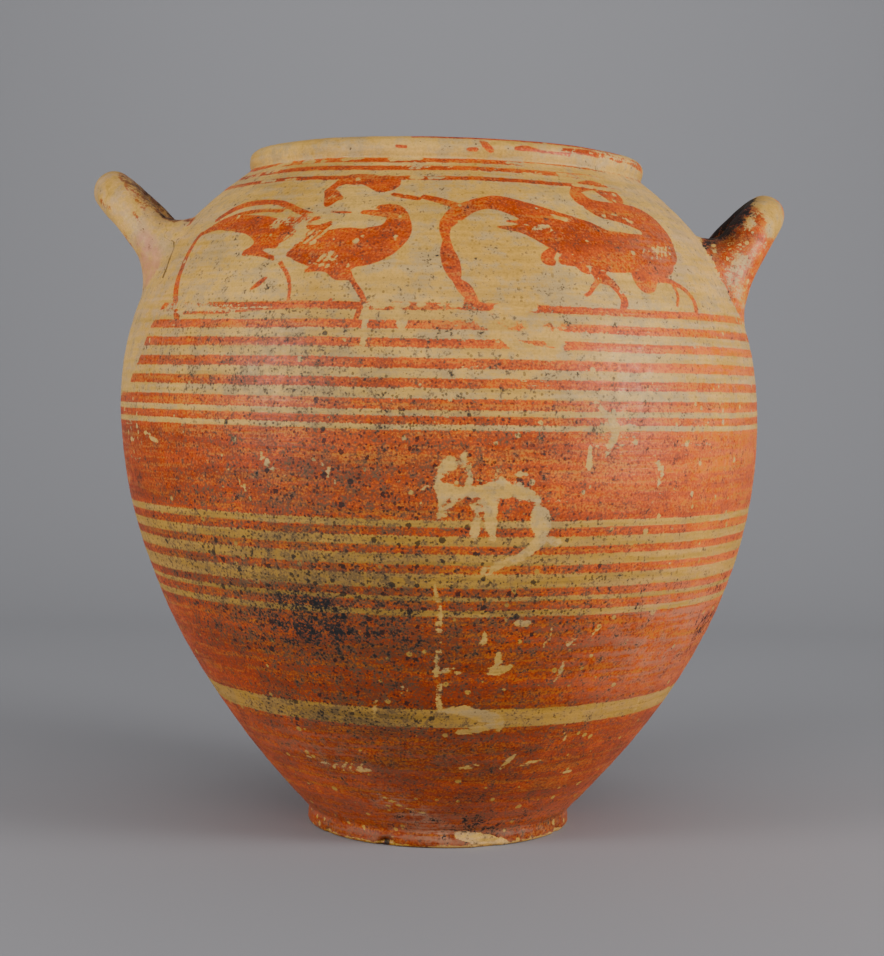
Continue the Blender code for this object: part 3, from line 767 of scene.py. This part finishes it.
dusty = patches((
    (62, 225, 16, 60, 0.3), (74, 300, 24, 18, 0.35), (46, 280, 8, 9, 0.35), (-66, 250, 22, 44, 0.26),
    (-80, 290, 18, 20, 0.25), (50, 104, 22, 30, 0.58), (-38, 48, 22, 16, 0.26), (-6, 50, 30, 12, 0.16),
    (0, 8, 180, 18, 0.26), (-17, 26, 7, 5, 0.7), (-8, 17, 7, 6, 0.85), (1, 9, 9, 6, 0.6),
), 0.05)

# The handles' own paint, as strokes seen from the front: across, up and half the width, in tenths.
# The left one is bare but for remains of slip; the right one is coated and rubbed bare at its tip, and
# painted black where it faces the mouth, as the shade that falls there.
LEFT_REMAINS = (
    ((-1514, 3171, 16), (-1484, 3142, 38), (-1446, 3103, 42), (-1418, 3054, 34), (-1413, 3010, 12)),
    ((-1484, 3185, 10), (-1434, 3134, 15), (-1384, 3070, 14), (-1334, 3012, 14), (-1285, 2983, 12),
     (-1186, 2960, 10)), ((-1452, 3000, 6), (-1452, 2975, 7), (-1427, 2951, 6), (-1409, 2934, 3)),
    ((-1638, 3056, 10), (-1617, 3027, 10)), ((-1588, 3017, 8), (-1580, 3005, 7)),
    ((-1510, 2925, 6), (-1507, 2903, 6)), ((-1512, 2876, 10), (-1494, 2852, 15), (-1477, 2827, 7)),
)
RIGHT_BARE = (
    ((1544, 3106, 26), (1604, 3074, 52), (1634, 3005, 46), (1604, 2940, 24)),
    ((1493, 2989, 6), (1494, 2979, 8)),
)
RIGHT_PALE = (((1490, 2840, 16), (1447, 2790, 40), (1423, 2700, 46), (1450, 2610, 30)),)
RIGHT_SHADE = (
    ((1270, 2870, 20), (1318, 2916, 40), (1376, 2984, 58), (1429, 3040, 62), (1492, 3100, 46),
     (1531, 3130, 20)),
)
LEFT_PINK = (((-1401, 2853, 44), (-1370, 2765, 64), (-1359, 2661, 54)),)
# The crack's line at the left handle's root, as heights and the places across at them
CRACK_HEIGHTS = (0.2655, 0.2700, 0.2765, 0.2805, 0.2838, 0.2858, 0.2868)
CRACK_PLACES = (-0.1276, -0.1264, -0.1252, -0.1243, -0.1246, -0.1268, -0.1300)
FRONT_END = 0.02
LEFT_SHADE_TOP = 0.321
front = points[:, 1] < FRONT_END


def from_front(strokes):
    """Each corner's distance to the edges of strokes that are laid on flat from the front."""
    places = (points[:, 0], points[:, 2], np.ones(len(points)))
    return np.where(front, from_strokes(strokes, places=places), FARTHEST)


on_left = (on_handle > 0) & (home[:, 0] < 0)
on_right = (on_handle > 0) & (home[:, 0] > 0)
# The sides that face the mouth and away from it, and the left handle's inner top edge, painted dark as
# shade
outward = facing[:, 0] * np.sign(home[:, 0])
inner_face = smoothly(-outward, 0.15, 0.7)
outer_face = smoothly(outward, 0.1, 0.7)
left_shaded_edge = smoothly(0.75 * facing[:, 0] + 0.65 * facing[:, 2], 0.45, 0.75)
left_shaded_edge *= smoothly(LEFT_SHADE_TOP - level, 0, 0.008) * smoothly(facing[:, 1], -0.68, -0.30)
# The slip: remains on the left handle, and a strip along its shaded edge that carries the painted
# shade, and a coat on the right one, thin at its tip and its roots
painted = np.where(on_left, np.minimum(from_front(LEFT_REMAINS), 0.0015 - 0.004 * left_shaded_edge), painted)
painted = np.where(on_right, 0.0006 - clearance, painted)
bare_here = 1 - smoothly(from_front(RIGHT_BARE), -0.0030, 0.0036)
pale_here = 1 - smoothly(from_front(RIGHT_PALE), -0.0030, 0.0045)
root_here = 1 - smoothly(clearance, 0.0010, 0.0075)
on_right_survival = 0.86 - 0.66 * bare_here - 0.17 * pale_here - 0.05 * root_here
survival = np.where(on_left, 0.70, np.where(on_right, on_right_survival, survival))
# Painted shade, brown to black, on the faces towards the mouth, over browner slip on the left handle;
# less brown on the right handle's outward faces; and a pink flush on the left root
from_right_shade = from_front(RIGHT_SHADE)
brown_shade = np.where(front, 1 - smoothly(from_right_shade, -0.0020, 0.0110), inner_face)
burnt_and_shaded += on_left * (0.25 + 0.62 * left_shaded_edge) + on_right * (0.62 * brown_shade - 0.20 * outer_face + 0.04)
black_shade = np.where(front, 1 - smoothly(from_right_shade, -0.0052, 0.0040), inner_face)
black_shade = np.maximum(black_shade, inner_face * smoothly(facing[:, 1], -0.60, -0.25))
# Painted shade laid on as soot: black on the right handle's faces towards the mouth, dark along the left
# handle's inner top edge
soot_and_shade += 1.3 * on_right * black_shade + 0.40 * on_left * left_shaded_edge
pink = on_left * (1 - smoothly(from_front(LEFT_PINK), -0.0030, 0.0030))
on_right_dusty = 0.05 + 0.16 * pale_here + 0.25 * root_here
dusty = np.where(on_left, 0.32, np.where(on_right, on_right_dusty, dusty))
# The crack runs where seam, how far to the right of it a corner lies, is 0
seam = points[:, 0] - np.interp(points[:, 2], CRACK_HEIGHTS, CRACK_PLACES)
cracked = front & (points[:, 2] > CRACK_HEIGHTS[0]) & (points[:, 2] < CRACK_HEIGHTS[-1])
seam = np.where(cracked, np.clip(seam, -FARTHEST, FARTHEST), np.where(seam > 0, FARTHEST, -FARTHEST))

# The clay's material reads these as fields over the surface
fields = dict(level=level, painted=painted, lost=lost, survival=survival, burnt_and_shaded=burnt_and_shaded, specked=specked,
              soot_and_shade=soot_and_shade, dusty=dusty, on_handle=on_handle, seam=seam, pink=pink, inside=inside)
for name, values in fields.items():
    layer = clay_mesh.attributes.new(name, "FLOAT", "POINT")
    layer.data.foreach_set("value", values.astype(np.float32))

# The finish. Buff clay under thin orange-red slip that was brushed on while the jar turned, so it is
# streaky, browner where it was burnt, rubbed off in places, and softly shining; the handles' faces
# towards the mouth are painted brown and black as shade.
BUFF_CLAY = (0.600, 0.328, 0.056, 1)
PALE_CLAY = (0.720, 0.422, 0.096, 1)
GREY_CLAY = (0.435, 0.300, 0.135, 1)
BROWN_CLAY = (0.500, 0.248, 0.018, 1)
PINK_CLAY = (0.500, 0.205, 0.105, 1)
GOLDEN_SLIP = (0.800, 0.170, 0.001, 1)
ORANGE_SLIP = (0.600, 0.072, 0.000, 1)
RED_SLIP = (0.330, 0.034, 0.001, 1)
BROWN_SLIP = (0.135, 0.024, 0.004, 1)
DUST = (0.530, 0.275, 0.160, 1)
GRIME = (0.110, 0.070, 0.035, 1)
SPECK = (0.010, 0.011, 0.013, 1)
SOOT_AND_SHADE = (0.011, 0.014, 0.017, 1)
# The painted bands, each from a lower to an upper height: the coated zone over the foot and the one
# above it, the lower lines, the wide band, and the lines below and above the herons
BANDS = (
    (-0.01, 0.066), (0.0749, 0.1189), (0.1218, 0.1259), (0.1279, 0.1317), (0.1379, 0.1418),
    (0.1466, 0.1502), (0.1544, 0.1584), (0.1614, 0.1998), (0.2021, 0.2057), (0.2082, 0.2129),
    (0.2174, 0.2215), (0.2255, 0.2299), (0.2342, 0.2381), (0.242, 0.2458), (0.25, 0.2534),
    (0.3092, 0.3111), (0.314, 0.3163), (0.318, 0.3202),
)

clay = bpy.data.materials.new("buff clay with worn slip")
clay.use_nodes = True
clay_nodes = clay.node_tree.nodes
clay_links = clay.node_tree.links


def put(kind, *values, output=0, **settings):
    """Adds a node of this kind. Each value is set on or linked to the socket of the same place."""
    made = clay_nodes.new("ShaderNode" + kind)
    for name, value in settings.items():
        setattr(made, name, value)
    for socket, value in zip(made.inputs, values):
        if isinstance(value, bpy.types.NodeSocket):
            clay_links.new(value, socket)
        elif value is not None:
            socket.default_value = value
    return made.outputs[output]


def calc(operation, first, *others):
    """Values and sockets worked together by one operation, from left to right."""
    for other in others:
        first = put("Math", first, other, operation=operation)
    return first


def total(*values):
    """The sum of values and sockets."""
    return calc("ADD", *values)


def product(*values):
    """The product of values and sockets."""
    return calc("MULTIPLY", *values)


def unsigned(value):
    """A value without its sign."""
    return put("Math", value, operation="ABSOLUTE")


def lacking(share):
    """What a share lacks to be 1."""
    return calc("SUBTRACT", 1.0, share)


def mottled(value, **amounts):
    """The value with named noises added: for each, how far it lies from its middle, 0.5, times the
    amount given for it."""
    for name, amount in amounts.items():
        value = total(value, product(calc("SUBTRACT", NOISES[name], 0.5), amount))
    return value


def soft_step(value, start, end, low=0.0, high=1.0):
    """low up to start and high from end on, with a soft S between."""
    return put("MapRange", value, start, end, low, high, interpolation_type="SMOOTHSTEP")


def blend(share, first, second):
    """A mix of two colours by a share from 0 to 1."""
    return put("Mix", share, *[None] * 5, first, second, output=2, data_type="RGBA")


def grain(stretch, detail, rough, shift=0):
    """Noise from 0 to 1 whose waves are 1 / stretch metres long along X, Y and Z."""
    place = put("Mapping", on_object, (shift, shift, shift), None, stretch)
    return put("TexNoise", place, None, 1.0, detail, rough)


def field(name):
    """A field over the surface, read from the mesh."""
    return put("Attribute", output=2, attribute_name=name)


def spots(size, shift, chance, radius):
    """Ragged round spots in cells of this size: a cell holds one when its own random number is under
    chance, and the spot's radius, a share of the cell, grows with another one."""
    place = put("Mapping", on_object, (shift, 0, shift), None, (1 / size,) * 3)
    cells = put("TexVoronoi", place, None, 1.0).node
    colour_parts = put("SeparateColor", cells.outputs["Color"]).node
    here = calc("LESS_THAN", colour_parts.outputs[0], chance)
    wanted = product(total(0.25, colour_parts.outputs[1]), radius)
    edge = calc("SUBTRACT", mottled(wanted, fine=0.5), cells.outputs["Distance"])
    return product(here, soft_step(edge, -0.05, 0.05))


# The noises, from 0 to 1: brush streaks that run round the body, and finer to broader blotches
on_object = put("TexCoord", output=3)
handle_here = field("on_handle")
specked_here = field("specked")
brushed = product(grain((22, 22, 420), 4.0, 0.6), lacking(handle_here))
NOISES = {
    "streaks": total(brushed, product(grain((170, 170, 170), 4.0, 0.6, 9.0), handle_here)),
    "long_streaks": grain((7, 7, 150), 3.0, 0.5, 3.0),
    "fine": grain((950, 950, 950), 2.0, 0.6, 1.0),
    "middling": grain((230, 230, 230), 3.0, 0.65, 2.0),
    "coarse": grain((70, 70, 90), 3.0, 0.6, 4.0),
    "broad": grain((16, 16, 16), 2.0, 0.5, 5.0),
    "flaky": grain((300, 300, 480), 4.0, 0.68, 7.0),
}

# The slip's coat lies where a band or a stroke is deep. The brush wobbled, so the edges do too, and
# the depth in the nearest band is half its width less the distance to its middle.
painted_level = mottled(field("level"), broad=0.0016, coarse=0.0008, middling=0.0011)
painted_level = total(painted_level, product(specked_here, mottled(0.0, fine=0.0040)))
band_depth = -FARTHEST
for bottom, top in BANDS:
    off = unsigned(calc("SUBTRACT", painted_level, (bottom + top) / 2))
    band_depth = calc("MAXIMUM", band_depth, calc("SUBTRACT", (top - bottom) / 2, off))
band_depth = calc("SUBTRACT", band_depth, handle_here)
stroke_depth = calc("SUBTRACT", mottled(0.0002, middling=0.0010, coarse=0.0005), field("painted"))
depth = calc("MAXIMUM", band_depth, stroke_depth)
coated = soft_step(depth, -0.0003, 0.0003)

# Losses: ragged edges come from the flaky noise, and thin slip goes where the wear is strong
lost_depth = mottled(total(field("lost"), 0.0001), flaky=0.0042, coarse=0.0026)
kept = soft_step(lost_depth, -0.0001, 0.0004)
edge_wear = soft_step(depth, 0.0, 0.0010, 0.06, 0.0)
rub = mottled(0.5, flaky=0.85, streaks=0.65, fine=0.30)
rub = total(rub, product(handle_here, mottled(0.0, fine=0.5)))
alive = calc("SUBTRACT", total(product(field("survival"), 1.05), -0.16), edge_wear)
softer = total(1.0, product(handle_here, -0.70))
worn_through = soft_step(product(calc("SUBTRACT", alive, rub), softer), -0.02, 0.06)
flecks = spots(0.0032, 6.0, 0.055, 0.42)
slip_here = product(coated, kept, worn_through, lacking(flecks), lacking(field("inside")))
cover = product(slip_here, soft_step(mottled(0.0, streaks=1.0, fine=0.8), -0.24, 0.02, 0.66, 1.0))

# The clay's own tones, then the slip's, from thin and golden to burnt and brown; on the handles the brown
# also stands for painted shade
clay_tone = blend(soft_step(NOISES["broad"], 0.3, 0.7), BUFF_CLAY, PALE_CLAY)
greyed = soft_step(mottled(NOISES["coarse"], streaks=0.6, middling=0.8), 0.38, 0.68, 0.0, 0.75)
clay_tone = blend(greyed, clay_tone, GREY_CLAY)
low_down = soft_step(mottled(field("level"), coarse=0.02), 0.150, 0.186, 0.62, 0.0)
clay_tone = blend(product(low_down, lacking(handle_here), kept), clay_tone, BROWN_CLAY)
burnt_and_shaded_here = mottled(field("burnt_and_shaded"), long_streaks=0.9, streaks=1.2, coarse=0.8, middling=1.0, fine=1.7)
slip_tone = blend(soft_step(burnt_and_shaded_here, -0.15, 0.20), GOLDEN_SLIP, ORANGE_SLIP)
slip_tone = blend(soft_step(burnt_and_shaded_here, 0.15, 0.60), slip_tone, RED_SLIP)
slip_tone = blend(soft_step(burnt_and_shaded_here, 0.50, 1.10), slip_tone, BROWN_SLIP)
colour = blend(cover, clay_tone, slip_tone)

# What lies on both: dust, a pink flush by the left handle, grime, smoke and painted shade, the crack's
# shade and specks
settled = soft_step(mottled(0.5, middling=0.8, streaks=1.2), 0.36, 0.62)
colour = blend(product(field("dusty"), settled, 0.75), colour, DUST)
flushed = soft_step(mottled(NOISES["middling"], fine=0.6), 0.30, 0.56, 0.40, 0.85)
colour = blend(product(field("pink"), flushed), colour, PINK_CLAY)
clean = soft_step(lost_depth, -0.0005, 0.0010, 0.25, 1.0)
grimy = mottled(product(specked_here, 0.45), fine=1.2, middling=1.3)
grimy = soft_step(grimy, 0.22, 0.50, 0.0, 0.82)
haze = mottled(specked_here, coarse=0.7, middling=1.1, fine=1.5)
haze = soft_step(haze, 0.22, 0.95, 0.0, 0.52)
colour = blend(product(calc("MAXIMUM", grimy, haze), clean), colour, GRIME)
# Soot darkens the colour towards black, and so does the painted shade on the handles' faces towards the
# mouth
smoke_and_shade = mottled(field("soot_and_shade"), middling=2.0, fine=1.8, coarse=1.2)
smoke_and_shade = soft_step(smoke_and_shade, 0.36, 0.90, 0.0, 0.93)
colour = blend(smoke_and_shade, colour, SOOT_AND_SHADE)
from_seam = mottled(unsigned(field("seam")), middling=0.0016, coarse=0.0010)
colour = blend(soft_step(from_seam, 0.0001, 0.0008, 0.75, 0.0), colour, SPECK)
small_specks = spots(0.0015, 2.0, product(specked_here, 0.85), 0.41)
large_specks = spots(0.0036, 4.0, total(specked_here, -0.42), 0.34)
faded = soft_step(specked_here, 0.12, 0.60, 0.42, 0.85)
specks = calc("MAXIMUM", product(small_specks, faded), large_specks)
colour = blend(product(specks, 0.80, clean), colour, SPECK)
lightness = mottled(1.0, fine=0.7, middling=0.5, streaks=0.9)
colour = put("VectorMath", colour, lightness, operation="MULTIPLY")

roughness = mottled(0.50, middling=0.6, streaks=0.3)
roughness = total(roughness, product(cover, -0.04), product(field("inside"), 0.3), product(smoke_and_shade, 0.3))
relief = total(product(NOISES["fine"], 0.00005), product(NOISES["middling"], 0.00014),
               product(NOISES["streaks"], 0.00022))
surface = clay_nodes["Principled BSDF"].inputs
surface["Specular IOR Level"].default_value = 0.27
clay_links.new(colour, surface["Base Color"])
clay_links.new(roughness, surface["Roughness"])
clay_links.new(put("Bump", 1.0, 1.0, None, relief), surface["Normal"])

clay_mesh.materials.clear()
clay_mesh.materials.append(clay)
clay_mesh.shade_smooth()
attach(jar, "root")
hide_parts("stamnos")

# The table. A sheet of plain matt grey paper lies under the jar and curves up behind it as a quarter
# of a round. It only stages the jar and isn't part of it.
SWEEP_START = 0.75
SWEEP_RADIUS = 0.90
SWEEP_STEPS = 32
SHEET_REACH = 3.0
PAPER_GREY = (0.30, 0.30, 0.318, 1)
quarter = np.radians(np.linspace(-90, 0, SWEEP_STEPS + 1))
sweep_end = SWEEP_START + SWEEP_RADIUS
depths = np.concatenate([[-SHEET_REACH], SWEEP_START + SWEEP_RADIUS * np.cos(quarter), [sweep_end]])
heights = np.concatenate([[0], SWEEP_RADIUS + SWEEP_RADIUS * np.sin(quarter), [SHEET_REACH]])
columns = np.array([-SHEET_REACH, SHEET_REACH])
sheet_points = np.stack([np.repeat(columns, len(depths)), np.tile(depths, 2), np.tile(heights, 2)], 1)
row = np.arange(len(depths) - 1)
sheet_faces = np.stack([row, row + len(depths), row + len(depths) + 1, row + 1], 1)
sheet_mesh = bpy.data.meshes.new("sheet")
sheet_mesh.from_pydata(sheet_points.tolist(), [], sheet_faces.tolist())
sheet_mesh.shade_smooth()
paper = bpy.data.materials.new("plain grey paper")
paper.use_nodes = True
paper_surface = paper.node_tree.nodes["Principled BSDF"].inputs
paper_surface["Base Color"].default_value = PAPER_GREY
paper_surface["Roughness"].default_value = 0.9
sheet_mesh.materials.append(paper)
sheet = placed("sheet", sheet_mesh)

# The light. Two broad soft lamps stand in front at the left and at the right, a wide one hangs
# in front overhead, another lights the sheet behind, and the room around gives an even fill.
LAMP_AIM = (0, 0, 0.18)
WALL_LAMP_PLACE = (0, 0.55, 1.5)
WALL_LAMP_TIP = 60
ROOM_COLOUR = (0.62, 0.63, 0.65, 1)


def lamp(name, size, watts, azimuth, elevation, distance):
    """A square soft lamp that faces the jar. Azimuth 0 is in front and grows to the right."""
    data = bpy.data.lights.new(name, "AREA")
    data.size = size
    data.energy = watts
    made = placed(name, data)
    made.matrix_world = (Matrix.Translation(LAMP_AIM) @ Matrix.Rotation(math.radians(azimuth), 4, "Z")
                         @ Matrix.Rotation(math.radians(90 - elevation), 4, "X")
                         @ Matrix.Translation((0, 0, distance)))
    return made


lamp("left lamp", 0.5, 13, -55, 13, 1.4)
lamp("right lamp", 0.5, 18, 65, 12, 1.4)
lamp("front lamp", 1.4, 11, 4, 32, 1.9)
wall_lamp = lamp("wall lamp", 1.2, 9.5, 0, 0, 0)
wall_lamp.matrix_world = (Matrix.Translation(WALL_LAMP_PLACE)
                          @ Matrix.Rotation(math.radians(WALL_LAMP_TIP), 4, "X"))
room = bpy.data.worlds.new("room")
room.use_nodes = True
room_light = room.node_tree.nodes["Background"].inputs
room_light["Color"].default_value = ROOM_COLOUR
room_light["Strength"].default_value = 0.20
bpy.context.scene.world = room
